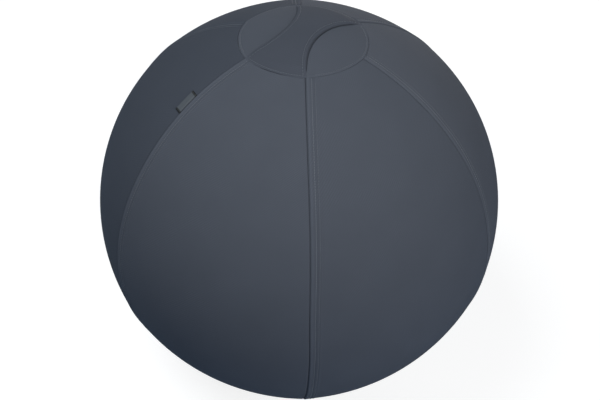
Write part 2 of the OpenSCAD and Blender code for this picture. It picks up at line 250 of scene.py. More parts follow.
# %% Floor
bm = bmesh.new()
bmesh.ops.create_grid(bm, x_segments=8, y_segments=8, size=20)
floor_mesh = bpy.data.meshes.new("floor")
bm.to_mesh(floor_mesh)
bm.free()
floor = new_object("floor", floor_mesh)
floor_finish = bpy.data.materials.new("pale_floor")
ground = empty_tree(floor_finish)
page = add(ground, "ShaderNodeBsdfDiffuse", {"Color": (0.40, 0.40, 0.40, 1)})
glow = add(ground, "ShaderNodeEmission", {"Color": (0.80, 0.80, 0.80, 1)})
split_by_camera(ground, "ShaderNodeOutputMaterial",
                lit=add(ground, "ShaderNodeBsdfDiffuse", {"Color": (0.28, 0.37, 0.50, 1)}),
                seen=add(ground, "ShaderNodeAddShader",
                         {0: page.outputs[0], 1: glow.outputs[0]}))
floor_mesh.materials.append(floor_finish)

# %% [markdown]
# ## Knitted cover cloth
# The cover is a dense, fine weft knit: upright columns of small V-shaped loops about a
# millimetre wide. Painting the loops on would slide over the curves, so each cloth piece
# carries a UV map in metres of its flat cut, and the loops are worked out from that map:
# a wave across for the columns, bent up and down by a second one for the V's. The height
# goes to the bump, the hollows get a little painted shade, slow noise gives the dye its
# unevenness, and a weak sheen stands for the fluff that catches light at the rim. Each
# piece carries an attribute of painted light and shade that is added to the tone: a
# painted highlight on the fold beside a seam and just inside the edges of the top panel
# and the strap, and painted shade between two rows of stitches and along the strap's
# sides. A knit looks lighter or darker with the direction in which it is cut and seen,
# and that is painted in as well: the same cloth comes in a few tones, a darker copy as
# painted shade on the left panels, the base and the zip guard, a lighter copy as painted
# light on the right panel, and a darker one on the strap.

# %% Knit finish
WALE, COURSE, CROSS_STEP = 1.15*MM, 0.95*MM, 4.1*MM


def knit_finish(name, colour):
    mat, tree, shader = finish_named(name, Roughness=0.85, Specular_IOR_Level=0.12,
                                     Sheen_Weight=0.02, Sheen_Roughness=0.4)
    flat = add(tree, "ShaderNodeUVMap", uv_map="flat").outputs[0]
    cut = add(tree, "ShaderNodeSeparateXYZ", {0: flat})
    across = maths(tree, "MULTIPLY", cut.outputs[0], 1/WALE)
    arm = maths(tree, "PINGPONG", across, 0.5)
    along = maths(tree, "MULTIPLY", cut.outputs[1], 1/COURSE)
    loops = wave(tree, maths(tree, "MULTIPLY_ADD", arm, 1.3, along), 1)
    height = maths(tree, "MULTIPLY_ADD", loops, 0.35, wave(tree, arm, 1))
    fluff, slow = cloudy(tree, flat, 900.0, 2.0), cloudy(tree, flat, 14.0, 3.0)
    # The hollows of the loops are painted a little darker: painted shade.
    tone = maths(tree, "MULTIPLY_ADD", height, 0.05, 0.95)
    for cloud, amount in ((slow, 0.14), (fluff, 0.24)):
        tone = maths(tree, "MULTIPLY_ADD", cloud, amount,
                     maths(tree, "SUBTRACT", tone, amount/2))
    bias = wave(tree, maths(tree, "ADD", cut.outputs[0], cut.outputs[1]), CROSS_STEP)
    fade = add(tree, "ShaderNodeMapRange", {0: slow, 1: 0.4, 2: 0.6})
    bias = maths(tree, "MULTIPLY", bias, fade.outputs[0])
    tone = maths(tree, "MULTIPLY_ADD", bias, 0.07, tone)
    # Painted highlights and painted shade that each piece carries are added to the tone.
    painted_shading = add(tree, "ShaderNodeAttribute", attribute_name="painted_shading")
    tone = maths(tree, "ADD", tone, painted_shading.outputs["Fac"])
    dyed = add(tree, "ShaderNodeVectorMath", {0: colour, "Scale": tone}, operation="SCALE")
    tree.links.new(dyed.outputs[0], shader.inputs["Base Color"])
    rough_height = maths(tree, "MULTIPLY_ADD", fluff, 0.8, height)
    raise_bumps(tree, shader, rough_height, 0.5, 0.09*MM)
    return mat


KNIT_FRONT = knit_finish("knit_front", (0.086, 0.094, 0.115))
# The darker copy is painted shade for the left panels, the base and the zip guard; the lighter
# copy is painted light for the right panel.
KNIT_PAINTED_SHADE = knit_finish("knit_painted_shade", (0.063, 0.071, 0.090))
KNIT_TOP = knit_finish("knit_top", (0.086, 0.094, 0.115))
KNIT_STRAP = knit_finish("knit_strap", (0.070, 0.077, 0.096))
KNIT_PAINTED_LIGHT = knit_finish("knit_painted_light", (0.094, 0.102, 0.124))

# %% [markdown]
# ## Sewing thread
# Each stitch is a short twisted thread. Its finish has fine slanted lines for the twist
# and is a little smoother than the cloth, so that single stitches catch the light. The
# row next to each panel seam and the one round the base show brightly; the others are
# sewn with a darker thread.

# %% Thread finish
def thread_finish(name, colour):
    mat, tree, shader = finish_named(name, Roughness=0.55, Specular_IOR_Level=0.35,
                                     Sheen_Weight=0.1)
    where = add(tree, "ShaderNodeTexCoord").outputs["Object"]
    twist = add(tree, "ShaderNodeTexWave", {"Vector": where, "Scale": 1800.0,
                                            "Distortion": 2.0}, bands_direction="DIAGONAL")
    colour_between(tree, shader, twist.outputs[1], shade(colour, 0.7), shade(colour, 1.3))
    raise_bumps(tree, shader, twist.outputs[1], 0.6, 0.05*MM)
    return mat


THREAD = thread_finish("sewing_thread", (0.20, 0.215, 0.24))
THREAD_TOP = thread_finish("sewing_thread_top", (0.135, 0.145, 0.165))

# %% [markdown]
# ## Turning a mesh into a piece
# All pieces are made the same way: build a mesh in memory, check that its faces point
# outwards, and make it an object at the origin. Except for the strap and its stitches, it
# rides on a body of the solid model.
# Cloth is built as one layer and a Solidify modifier gives it its thickness inwards.

# %% Helpers for pieces
def face_away(bm, point):
    """Turn all faces if most of them look towards this point."""
    bm.normal_update()
    score = sum((f.calc_center_median() - Vector(point)).dot(f.normal)*f.calc_area()
                for f in bm.faces)
    if score < 0:
        bmesh.ops.reverse_faces(bm, faces=bm.faces)


def close_up(bm):
    """Join the points that lie on each other, at a pole or where a ring meets itself."""
    bmesh.ops.remove_doubles(bm, verts=bm.verts, dist=0.001*MM)


def piece_from(bm, name, finish, node, body="ball"):
    """Make the mesh an object in place of this node, on the body when one is given."""
    mesh = bpy.data.meshes.new(name)
    bm.to_mesh(mesh)
    bm.free()
    mesh.shade_smooth()
    mesh.materials.append(finish)
    obj = new_object(name, mesh)
    if body:
        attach(obj, body)
    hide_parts(node)
    return obj


def thicken(obj, thickness, offset=-1):
    wall = obj.modifiers.new("thickness", "SOLIDIFY")
    wall.thickness = thickness
    wall.offset = offset


def cloth_grid(columns, rows, lay):
    """Flat grid of cloth; lay(i, j) gives each point's place, cut place and painted light and
    shade.
    """
    bm = bmesh.new()
    bmesh.ops.create_grid(bm, x_segments=columns, y_segments=rows, size=0.5)
    assert len(bm.verts) == (columns + 1)*(rows + 1)
    cut = {}
    painted_shading = bm.verts.layers.float.new("painted_shading")
    for v in bm.verts:
        i, j = round((v.co.x + 0.5)*columns), round((v.co.y + 0.5)*rows)
        v.co, cut[v], *painted_tone = lay(i, j)
        v[painted_shading] = sum(painted_tone)
    uv = bm.loops.layers.uv.new("flat")
    for face in bm.faces:
        for loop in face.loops:
            loop[uv].uv = cut[loop.vert]
    return bm


def column_place(i, steps, middle_steps, place):
    """Signed place of grid column i: given steps in from both edges, even ones between."""
    n = len(steps) - 1
    last = 2*n + middle_steps
    if i <= n:
        return -place(steps[i])
    if i >= last - n:
        return place(steps[last - i])
    return place(steps[-1])*(2*(i - n)/middle_steps - 1)


def smooth(x):
    x = min(1.0, max(0.0, x))
    return x*x*(3 - 2*x)


def bell(x, width):
    return math.exp(-(x/width)**2)


def uneven(x, seed, y=0.0):
    """Slow and quick unevenness of the sewing along a seam, about -1 to 1."""
    return (0.7*noise.noise(Vector((x*38, seed*7.3 + y*38, 1.0)))
            + 0.5*noise.noise(Vector((x*140, seed*3.1 + y*140, 5.0))))


def uneven_ring(azimuth, radius, seed):
    """The same along a ring, so that its start and its end agree."""
    a = math.radians(azimuth)
    return uneven(radius*math.cos(a), seed, radius*math.sin(a))


# %% [markdown]
# ## Where the cover's surface lies
# A point of a panel is given by its angle from the ball's top and its distance from a
# seam, because seams, folded edges and stitch rows all run at a steady distance from
# each other while the panel itself grows from a hand's width to a forearm's length. Sewn
# seams are never quite straight: near the top these stray sideways by one degree.

# %% Panel surface
def turned(x, y, azimuth):
    """Turn a point about the upright axis; azimuth 0 is the front, 90 the right."""
    a = math.radians(azimuth)
    return x*math.cos(a) - y*math.sin(a), x*math.sin(a) + y*math.cos(a)


def drift(theta):
    """Degrees that the seams stray to the side, at this angle from the top."""
    low = smooth((theta - 1.35)/0.4)*(1 - smooth((theta - 1.9)/0.5))
    return TOP_DRIFT*(1 - smooth((theta - 0.31)/0.8)) + 0.35*low


def panel_point(middle, psi, theta, out=0.0):
    """Point at angle psi across the panel and theta from the top, raised by out."""
    reach = MID_R*math.sin(theta) + AXIS_SHIFT + out*math.sin(theta)
    x, y = turned(reach*math.sin(psi), AXIS_SHIFT - reach*math.cos(psi), middle + drift(theta))
    return Vector((x, y, CENTRE_Z + (MID_R + out)*math.cos(theta)))


def psi_beside_seam(distance, theta):
    """Angle across the panel, from its middle, of a point this far inside its seam."""
    reach = MID_R*math.sin(theta) + AXIS_SHIFT
    return HALF - math.asin((distance + AXIS_SHIFT/2)/reach)


def cap_outline(azimuth):
    """Distance from the axis to the top panel's edge in this direction."""
    t = math.radians((azimuth % 60) - 30)
    back_off = CAP_SIDE_R - CAP_MID_R
    return math.sqrt(CAP_SIDE_R**2 - (back_off*math.sin(t))**2) - back_off*math.cos(t)


def azimuth_of(p):
    return math.degrees(math.atan2(p.x, -p.y))


def past_cap(p):
    """How far a point near the top lies outside the top panel's outline."""
    return math.hypot(p.x, p.y) - cap_outline(azimuth_of(p) - TOP_DRIFT)


def in_zip(azimuth):
    """How far this direction lies in the zip's part of the base seam, 0 to 1."""
    a = azimuth % 360
    return smooth((a - ZIP_FROM + 0.6)/1.2)*smooth((ZIP_TO + 0.6 - a)/1.2)


print("panel width at the equator", round(2*panel_point(0, HALF, math.pi/2).x, 3))

# %% [markdown]
# ## How a seam shapes the cloth
# Where two panels meet, both edges turn inwards and leave a thin groove. Both allowances
# are folded flat under the panel on the right of the seam and lift it by half a
# millimetre, and each row of stitches pulls a narrow channel into that raised band. The
# pull is never quite even, which gives the small ripples between the rows.

# %% Seam relief
SEAM_REACH = 26*MM
FOLD_W, FOLD_UP, ROLL_UP = 14.5*MM, 0.55*MM, 0.30*MM


def seam_relief(distance, folded, along, seam):
    """Height of the cloth's face at this distance from the seam line."""
    if distance > SEAM_REACH:
        return 0.0
    height = -SEAM_DEPTH[seam]*bell(distance, 0.95*MM)
    ripple = uneven(along, seam*2 + folded)
    if folded:
        height += FOLD_UP*(1 - smooth((distance - FOLD_W)/(4*MM)))
        height += ROLL_UP*bell(distance - 3*MM, 1.5*MM)
        for row in STITCH_ROWS:
            height -= (0.55 + 0.20*ripple)*MM*bell(distance - row, 1.0*MM)
        height += 0.14*MM*ripple*bell(distance - 10.5*MM, 4*MM)
    else:
        height += 0.10*MM*ripple*bell(distance - 6*MM, 5*MM)
    return height


def painted_seam_shading(distance):
    """Painted highlight on the fold beside the seam, painted shade between the two rows."""
    return 0.15*bell(distance - 3.2*MM, 1.1*MM) - 0.07*bell(distance - 11*MM, 1.3*MM)


# %% [markdown]
# ## The six panels
# A panel is one grid of cloth. Its columns keep a steady distance from the nearer seam
# close to the edge, where the folds need them, and share out the rest in the middle. Its
# rows run from the top panel's outline to the base seam, closer together at both ends.
# Near the corners of the top panel, where five layers are sewn into one point, the cloth
# gathers in short folds that run down from the corner.

# %% Grid lines of a panel
EDGE = [x*MM for x in (0, 0.5, 1, 1.6, 2.4, 3.6, 5, 6.5, 7.6, 8.4, 9.2, 10.2, 11.6, 12.6,
                       13.4, 14.2, 15.3, 16.7, 18.5, 21)]
MIDDLE_STEPS = 44
END_ROWS = [x*MM for x in (0, 0.6, 1.3, 2.2, 3.4, 4.6, 5.6, 6.8, 8.5, 10.5, 13)]
BODY_ROWS = 210
COLUMNS = 2*(len(EDGE) - 1) + MIDDLE_STEPS
PANEL_ROWS = 2*(len(END_ROWS) - 1) + BODY_ROWS
CAP_SEAM = 0.1*MM
FIRST_THETA = 0.3
OUT_PER_THETA = MID_R*0.95


def column_psi(i, theta):
    """Angle across the panel of grid column i."""
    return column_place(i, EDGE, MIDDLE_STEPS, lambda step: psi_beside_seam(step, theta))


def row_arc(j, length):
    """Distance of grid row j down a panel of this length."""
    n = len(END_ROWS) - 1
    if j <= n:
        return END_ROWS[j]
    if j >= PANEL_ROWS - n:
        return length - END_ROWS[PANEL_ROWS - j]
    return END_ROWS[-1] + (length - 2*END_ROWS[-1])*(j - n)/BODY_ROWS


def top_theta(middle, psi_at, outside):
    """Angle from the ball's top at which a line of the panel leaves the top panel."""
    theta = FIRST_THETA
    for _ in range(6):
        p = panel_point(middle, psi_at(theta), theta)
        theta -= (past_cap(p) - outside)/OUT_PER_THETA
    return theta


def foot_theta(p):
    """Angle from the ball's top of the base seam, or of the zip's edge, below a point."""
    return math.pi - BASE_ANGLE - in_zip(azimuth_of(p))*ZIP_GAP/2/MID_R


def base_theta(middle, i):
    """Angle from the ball's top at which column i ends at the base seam or the zip."""
    theta = math.pi - BASE_ANGLE
    for _ in range(3):
        theta = foot_theta(panel_point(middle, column_psi(i, theta), theta))
    return theta


def cap_step(low, high):
    """How far the top panel stands above the panel below it, between two corners."""
    return 0.9*MM*(1 - ((low - high)/(low + high + MM))**2)


def panel_relief(middle, low, high, arc, length):
    """Height of the panel's face: both seams, both ends and the gathers at the corners."""
    before = round((middle - 30)/60)
    after = (before + 1) % 6
    height = seam_relief(low, True, arc, before) + seam_relief(high, False, arc, after)
    height -= 0.1*MM*bell(arc, 0.7*MM) + 1.2*MM*bell(length - arc, 1.4*MM)
    height += 0.85*cap_step(low, high)*(1 - smooth(arc/(16*MM)))
    if arc > 60*MM:
        return height
    for side, distance in ((before, low), (after, high)):
        fold = math.sin(distance/(3.1*MM)*2*math.pi + side*1.7 + arc*25)
        height += 0.16*MM*fold*bell(distance - 15*MM, 9*MM)*bell(arc - 16*MM, 16*MM)
    return height


# %% Build the panels
def panel_cloth(name, middle, finish):
    tops = [top_theta(middle, lambda theta: column_psi(i, theta), CAP_SEAM)
            for i in range(COLUMNS + 1)]
    feet = [base_theta(middle, i) for i in range(COLUMNS + 1)]

    def lay(i, j):
        length = (feet[i] - tops[i])*MID_R
        arc = row_arc(j, length)
        theta = tops[i] + arc/MID_R
        psi = column_psi(i, theta)
        reach = MID_R*math.sin(theta) + AXIS_SHIFT
        low = reach*math.sin(HALF + psi) - AXIS_SHIFT/2
        high = reach*math.sin(HALF - psi) - AXIS_SHIFT/2
        out = panel_relief(middle, low, high, arc, length)
        # The last value is the painted highlight and painted shade beside the low seam.
        return (panel_point(middle, psi, theta, out), (psi*reach, theta*MID_R),
                painted_seam_shading(low))

    bm = cloth_grid(COLUMNS, PANEL_ROWS, lay)
    face_away(bm, (0, 0, CENTRE_Z))
    obj = piece_from(bm, name + "_cloth", finish, name)
    thicken(obj, CLOTH_T)
    return obj


PANELS = {"panel_front_right": (30, KNIT_FRONT), "panel_right": (90, KNIT_PAINTED_LIGHT),
          "panel_back_right": (150, KNIT_FRONT), "panel_back_left": (210, KNIT_PAINTED_SHADE),
          "panel_left": (270, KNIT_PAINTED_SHADE), "panel_front_left": (330, KNIT_FRONT)}
for name, (middle, finish) in PANELS.items():
    cloth = panel_cloth(name, middle, finish)
    print(cloth.name, len(cloth.data.polygons), "faces")

# %% [markdown]
# ## Stitches
# Real topstitching is a row of separate short threads that dip into the cloth at both
# ends. One stitch is a small ball of few faces, stretched to the length of a stitch and
# laid along the row with its lower half in the cloth. There are thousands, so each has
# only two dozen faces, and each row is collected in a mesh of its own first.

# %% Stitch helper
STITCH_L, STITCH_STEP, THREAD_R = 3.1*MM, 3.7*MM, 0.34*MM


def bead_of(u_segments, v_segments):
    """A small ball of few faces, whose poles lie on the X axis."""
    bead = bmesh.new()
    bmesh.ops.create_uvsphere(bead, u_segments=u_segments, v_segments=v_segments, radius=1,
                              matrix=Matrix.Rotation(math.pi/2, 4, "Y"))
    return bead


def place_copies(total, bead, matrices):
    """Add a copy of the bead to a mesh at each of these places."""
    step = bpy.data.meshes.new("copy")
    for matrix in matrices:
        copy = bead.copy()
        bmesh.ops.transform(copy, verts=copy.verts, matrix=matrix)
        copy.to_mesh(step)
        copy.free()
        total.from_mesh(step)
    bpy.data.meshes.remove(step)


def laid_along(p, ahead, normal, size):
    """Matrix of a shape of this size at p, its x towards a second point, z along normal."""
    x = (ahead - p).normalized()
    y = normal.cross(x).normalized()
    turn = Matrix((x, y, x.cross(y))).transposed().to_4x4()
    return Matrix.Translation(p) @ turn @ Matrix.Diagonal((*size, 1))


STITCH = bead_of(6, 4)


def on_face(point, out):
    """Point of a surface raised by out, and the surface's normal there."""
    p = point(out)
    return p, (point(out + MM) - p).normalized()


def sew(total, place, start, end, step=STITCH_STEP):
    """Add stitches from start to end of a path; place(s) gives a point and its normal."""
    r = THREAD_R
    count = max(1, int((end - start)/step))
    matrices = []
    for k in range(count):
        s = start + (k + 0.5)*(end - start)/count
        (p, normal), (ahead, _) = place(s), place(s + 0.5*MM)
        raised = normal*r*0.35
        matrices.append(laid_along(p + raised, ahead + raised, normal,
                                   (STITCH_L/2, r, r*0.85)))
    place_copies(total, STITCH, matrices)
    return count


# %% Rows beside the six seams
def seam_row_path(seam, row):
    """Path of a stitch row: down the panel on whose side the seam is folded."""
    middle = seam*60 + 30
    top = top_theta(middle, lambda theta: -psi_beside_seam(row, theta), 0)

    def place(s):
        theta = top + s/MID_R
        psi = -psi_beside_seam(row, theta)
        return on_face(lambda out: panel_point(middle, psi, theta, out),
                       seam_relief(row, True, s, seam))

    bottom = foot_theta(panel_point(middle, 0, 2.6))
    return place, (bottom - top)*MID_R


for row, where, finish in zip(STITCH_ROWS, ("near", "far"), (THREAD, THREAD_TOP)):
    bm = bmesh.new()
    stitches = 0
    for seam in range(6):
        place, length = seam_row_path(seam, row)
        stitches += sew(bm, place, 1.5*MM, length - 2*MM)
    piece_from(bm, "panel_seam_stitches_" + where, finish, "panel_seam_thread")
    print(stitches, "stitches in the rows", where, "the seams")

# %% [markdown]
# ## Top panel
# Six bowed sides close the cover over the ball's top. The piece is laid in rings from
# its middle out to that outline. The edge turns in at the seam, and a row of
# stitches a few millimetres inside it holds the folded allowance.

# %% Top panel surface
def cap_point(azimuth, r, out=0.0):
    """Point over the ball's top at this distance from the axis, raised by out."""
    tilt = math.asin(r/CAP_R)
    x, y = turned(0, -(CAP_R + out)*math.sin(tilt), azimuth + TOP_DRIFT)
    return Vector((x, y, CENTRE_Z + (CAP_R + out)*math.cos(tilt)))


def cap_relief(azimuth, inside):
    """Height of the top panel's face this far inside its edge."""
    ripple = uneven_ring(azimuth, CAP_CORNER_R, 31)
    height = 0.12*MM*bell(inside - 1.6*MM, 0.9*MM) - 0.05*MM*bell(inside, 0.5*MM)
    share = abs((azimuth % 60) - 30)/30
    height -= 0.45*MM*(1 - share*share)*(1 - smooth(inside/(16*MM)))
    off_strap = abs((azimuth + 120) % 180 - 90)
    height -= 0.7*MM*(1 - smooth((off_strap - 27)/7))*(1 - smooth((inside - 3*MM)/(15*MM)))
    return height - (0.20 + 0.10*ripple)*MM*bell(inside - CAP_ROW, 1.0*MM)


# Painted highlight a little inside an edge.
def painted_edge_highlight(inside):
    return 0.10*bell(inside - 2.0*MM, 1.0*MM)


# %% Top panel cloth
CAP_COLUMNS, CAP_RINGS = 240, 36
CAP_EDGE = [x*MM for x in (11, 9, 7.4, 6.3, 5.5, 5, 4.5, 3.8, 3, 2.2, 1.5, 0.9, 0.4, 0)]


def lay_cap(i, j):
    azimuth = 360*i/CAP_COLUMNS
    edge = cap_outline(azimuth)
    if j <= CAP_RINGS:
        r = (edge - CAP_EDGE[0])*j/CAP_RINGS
    else:
        r = edge - CAP_EDGE[j - CAP_RINGS]
    p = cap_point(azimuth, r, cap_relief(azimuth, edge - r))
    # The last value is a painted highlight just inside the edge.
    return p, turned(0, -r, azimuth), painted_edge_highlight(edge - r)


bm = cloth_grid(CAP_COLUMNS, CAP_RINGS + len(CAP_EDGE) - 1, lay_cap)
close_up(bm)
face_away(bm, (0, 0, CENTRE_Z))
top = piece_from(bm, "top_panel_cloth", KNIT_TOP, "top_panel")
thicken(top, CLOTH_T)
print("top panel", len(top.data.polygons), "faces")

# %% [markdown]
# ## Carry strap
# The strap crosses the top from the front left side to the back right one, narrow in
# the middle and as wide as the panel where it is sewn in. A hand lifts its middle; the
# strap is made in two halves that meet there. The upper layer turns down over the lining
# along both sides. The lining stops a little before the end, because the seam presses
# the layers flat there.

# %% Strap surface
STRAP_AZIMUTH = -30 + TOP_DRIFT
STRAP_SIDE_R = 0.128
WAIST_HALF, WAIST_SHIFT = 0.026, 6*MM
STRAP_SIDE_X = WAIST_HALF + STRAP_SIDE_R
STRAP_UP, STRAP_T, LINING_UP, HEM_ROW = 2.4*MM, 1.0*MM, 1.15*MM, 7*MM
LINING_IN, LINING_STOP = 2.2*MM, 14*MM
END_R = CAP_CORNER_R - 2*MM
END_Z = math.sqrt(CAP_R**2 - END_R**2) + 0.3*MM
RISE = CAP_R + 2.5*MM - END_Z
DOME_R = (END_R**2 + RISE**2)/(2*RISE)
DOME_Z = CENTRE_Z + CAP_R + 2.5*MM - DOME_R


def strap_width(u):
    """Half the strap's width at u, counted from the ball's top towards its front end."""
    return STRAP_SIDE_X - math.sqrt(STRAP_SIDE_R**2 - (u - WAIST_SHIFT)**2)


def strap_reach(k, way, inset):
    """How far the line at share k of the width runs before it meets the outline."""
    low, high = 0.05, 0.099
    for _ in range(24):
        u = (low + high)/2
        w = k*(strap_width(way*u) - inset)
        turn = math.degrees(math.atan2(w*way, u)) + (0 if way > 0 else 180)
        inside = math.hypot(u, w) < cap_outline(turn - 30) - 0.2*MM
        low, high = (u, high) if inside else (low, u)
    return low


def strap_point(u, w, height):
    """Point of the strap at height above the dome that its underside follows."""
    x, y = turned(w, -u, STRAP_AZIMUTH)
    return Vector((x, y, DOME_Z + math.sqrt((DOME_R + height)**2 - u*u - w*w)))


def side_droop(from_side, u):
    """How far the strap's side sinks towards the top panel below it."""
    r2 = u*u + (strap_width(u) - from_side)**2
    gap = DOME_Z + math.sqrt(DOME_R**2 - r2) - CENTRE_Z - math.sqrt(CAP_R**2 - r2)
    return 0.92*gap*(1 - smooth(from_side/(7*MM)))


def strap_relief(from_side, from_end, u):
    """Height of the strap's face: drooping sides, hem channel, pulled-down end."""
    ripple = uneven(u, 47)
    height = -side_droop(from_side, u) - 1.5*MM*bell(from_side, 1.6*MM)
    height -= (0.40 + 0.15*ripple)*MM*bell(from_side - HEM_ROW, 1.1*MM)
    drop = 2.8*MM - 0.4*MM*(1 - smooth(from_side/(14*MM)))
    height -= drop*(1 - smooth((from_end - 2.5*MM)/(14*MM)))
    height += 0.12*MM*bell(from_end - 1.6*MM, 0.9*MM)
    return height - (0.22 + 0.10*ripple)*MM*bell(from_end - CAP_ROW, 1.0*MM)


# %% Strap cloth
SIDE_STEPS = [x*MM for x in (0, 0.5, 1, 1.8, 3, 4.6, 6, 7, 8, 9.4, 11.5)]
INNER_STEPS, STRAP_ROWS = 24, 60
STRAP_COLUMNS = 2*(len(SIDE_STEPS) - 1) + INNER_STEPS


def strap_share(i, half):
    """Share of the half width, -1 to 1, of grid column i."""
    return column_place(i, SIDE_STEPS, INNER_STEPS, lambda step: 1 - step/half)


def strap_layer(name, where, way, base, inset, stop, relief):
    """One layer of one half of the strap, at height base above the strap's underside."""
    reaches = [strap_reach(strap_share(i, 0.04), way, inset) - stop
               for i in range(STRAP_COLUMNS + 1)]

    def lay(i, j):
        share = 1 - (1 - j/STRAP_ROWS)**1.25
        reach = reaches[i]
        u = way*reach*share
        half = strap_width(u) - inset
        w = half*strap_share(i, half)
        from_end = reach*(1 - share)
        side = half - abs(w)
        # Painted highlights near the end and inside the sides, and painted shadow right at the
        # sides.
        return (strap_point(u, w, base + relief(side, from_end, u)), (w, u),
                painted_edge_highlight(from_end) + painted_edge_highlight(side - 1.2*MM) - 0.3*bell(side, 1.2*MM))

    bm = cloth_grid(STRAP_COLUMNS, STRAP_ROWS, lay)
    face_away(bm, (0, 0, CENTRE_Z))
    for edge in bm.edges:
        edge.smooth = not (edge.is_boundary and all(
            turned(v.co.x, v.co.y, -STRAP_AZIMUTH)[1]**2 < (0.1*MM)**2 for v in edge.verts))
    obj = piece_from(bm, name + where, KNIT_STRAP, name, body=None)
    thicken(obj, STRAP_T)
    strap_point(way*0.094, 0, 0)
    strap_point(way*0.006, 0, 0)
    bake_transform(obj)


def lining_relief(from_side, from_end, u):
    return -side_droop(from_side + LINING_IN, u)


STRAP_HALVES = {"_front": 1, "_back": -1}
for where, way in STRAP_HALVES.items():
    strap_layer("strap_top", where, way, STRAP_UP, 0, 0, strap_relief)
    strap_layer("strap_lining", where, way, LINING_UP, LINING_IN, LINING_STOP,
                lining_relief)

# %% Strap and top panel stitches
def strap_row_path(way, side):
    """Path of the hem row along one side of one half of the strap."""
    reach = strap_reach(side*(1 - 7/40), way, 0)

    def place(s):
        u = way*s
        w = side*(strap_width(u) - HEM_ROW)
        return on_face(lambda out: strap_point(u, w, out),
                       STRAP_UP + strap_relief(HEM_ROW, reach - s, u))
    return place


def cap_row_path(lift):
    """Path of the row inside the top panel's edge; s is the azimuth in degrees times MM."""
    def place(s):
        azimuth = s/MM
        edge = cap_outline(azimuth)
        p = lift(azimuth, edge - CAP_ROW)
        return p, (p - Vector((0, 0, CENTRE_Z))).normalized()
    return place


def on_cap(azimuth, r):
    return cap_point(azimuth, r, cap_relief(azimuth, CAP_ROW))


def on_strap(azimuth, r):
    t = math.radians(azimuth + 30)
    u, w = r*math.cos(t), r*math.sin(t)
    side = strap_width(u) - abs(w)
    return strap_point(u, w, STRAP_UP + strap_relief(side, CAP_ROW - 0.2*MM, u))


CAP_ROW_R = 0.09
degree_step = STITCH_STEP/CAP_ROW_R*180/math.pi*MM
bm = bmesh.new()
for low, high in ((8, 112), (188, 292)):
    sew(bm, cap_row_path(on_cap), low*MM, high*MM, step=degree_step)
piece_from(bm, "top_panel_stitches", THREAD_TOP, "top_seam_thread")
for where, way in STRAP_HALVES.items():
    bm = bmesh.new()
    for side in (-1, 1):
        sew(bm, strap_row_path(way, side), 0.5*MM, 82*MM if way > 0 else 76*MM)
    centre = -30 + (0 if way > 0 else 180)
    sew(bm, cap_row_path(on_strap), (centre - 29)*MM, (centre + 29)*MM, step=degree_step)
    hem = piece_from(bm, "strap_stitches" + where, THREAD_TOP,
                     "strap_hem_thread", body=None)
    strap_point(way*0.094, 0, 0)
    strap_point(way*0.006, 0, 0)
    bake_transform(hem)

# %% [markdown]
# ## Side label
# A small woven label is sewn into the left seam. It is one ribbon folded double, with
# both cut ends hidden in the seam, so the strip is laid out to the fold and back again,
# and its free edge stands a little off the cloth. Its face is left bare.

# %% Label finish
def label_finish():
    mat, tree, shader = finish_named("woven_ribbon", Roughness=0.5, Specular_IOR_Level=0.35,
                                     Sheen_Weight=0.05)
    flat = add(tree, "ShaderNodeUVMap", uv_map="flat").outputs[0]
    cut = add(tree, "ShaderNodeSeparateXYZ", {0: flat})
    weave = maths(tree, "MULTIPLY", wave(tree, cut.outputs[0], 0.28*MM),
                  wave(tree, cut.outputs[1], 0.34*MM))
    edge = maths(tree, "ABSOLUTE", cut.outputs[1])
    ends = add(tree, "ShaderNodeMapRange", {0: edge, 1: 14.2*MM, 2: 14.8*MM})
    tone = add(tree, "ShaderNodeMix", {0: ends.outputs[0], 6: (0.064, 0.073, 0.086, 1),
                                       7: (0.006, 0.007, 0.008, 1)}, data_type="RGBA")
    speck = maths(tree, "MULTIPLY_ADD", weave, 0.18, 1.0)
    face = add(tree, "ShaderNodeVectorMath", {0: tone.outputs[2], "Scale": speck},
               operation="SCALE")
    tree.links.new(face.outputs[0], shader.inputs["Base Color"])
    raise_bumps(tree, shader, weave, 0.5, 0.03*MM)
    return mat


# %% Folded label
LABEL_L, LABEL_W = 36*MM, 11*MM
LABEL_THETA = math.asin(CAP_CORNER_R/CAP_R) + 0.102/CAP_R


def lay_label(i, j):
    """Column i runs from the seam out along the lower layer and back along the upper."""
    along = LABEL_L*(j/24 - 0.5)
    theta = LABEL_THETA + along/CAP_R
    turn = smooth((i - 12)/6)
    distance = LABEL_W*(i/12 if i <= 12 else 1 if i <= 18 else (30 - i)/12)
    bulge = 0.25*MM*math.sin(math.pi*turn)
    lift = 0.9*MM*(distance/LABEL_W)**2 + 0.15*MM*(2*along/LABEL_L)**2*distance/LABEL_W
    out = -0.9*MM*bell(distance, 1.3*MM) + lift + (0.45 + 0.5*turn)*MM
    psi = psi_beside_seam(0.1*MM + distance + bulge, theta)
    return panel_point(270, psi, theta, out), (distance*(1 if i < 15 else -1), along)


bm = cloth_grid(30, 24, lay_label)
label = piece_from(bm, "side_label_ribbon", label_finish(), "side_label")
thicken(label, 0.3*MM, 0)
print("label", len(label.data.polygons), "faces")

# %% [markdown]
# ## Base panel
# Below the base seam the cover leaves the ball and runs down to the disc as a shallow
# cone. Stretch cloth that is sewn to a smaller circle never lies quite flat: it gathers
# in fine folds near the disc, and the stitch row below the zip draws a shallow channel.

# %% Base panel cloth
def slope_point(azimuth, t, n=0.0):
    """Point t up the base's slope from the base seam, and n outwards from it."""
    r = BASE_R + t*math.cos(BASE_ANGLE) + n*math.sin(BASE_ANGLE)
    x, y = turned(0, -r, azimuth)
    return Vector((x, y, BASE_Z + t*math.sin(BASE_ANGLE) - n*math.cos(BASE_ANGLE)))


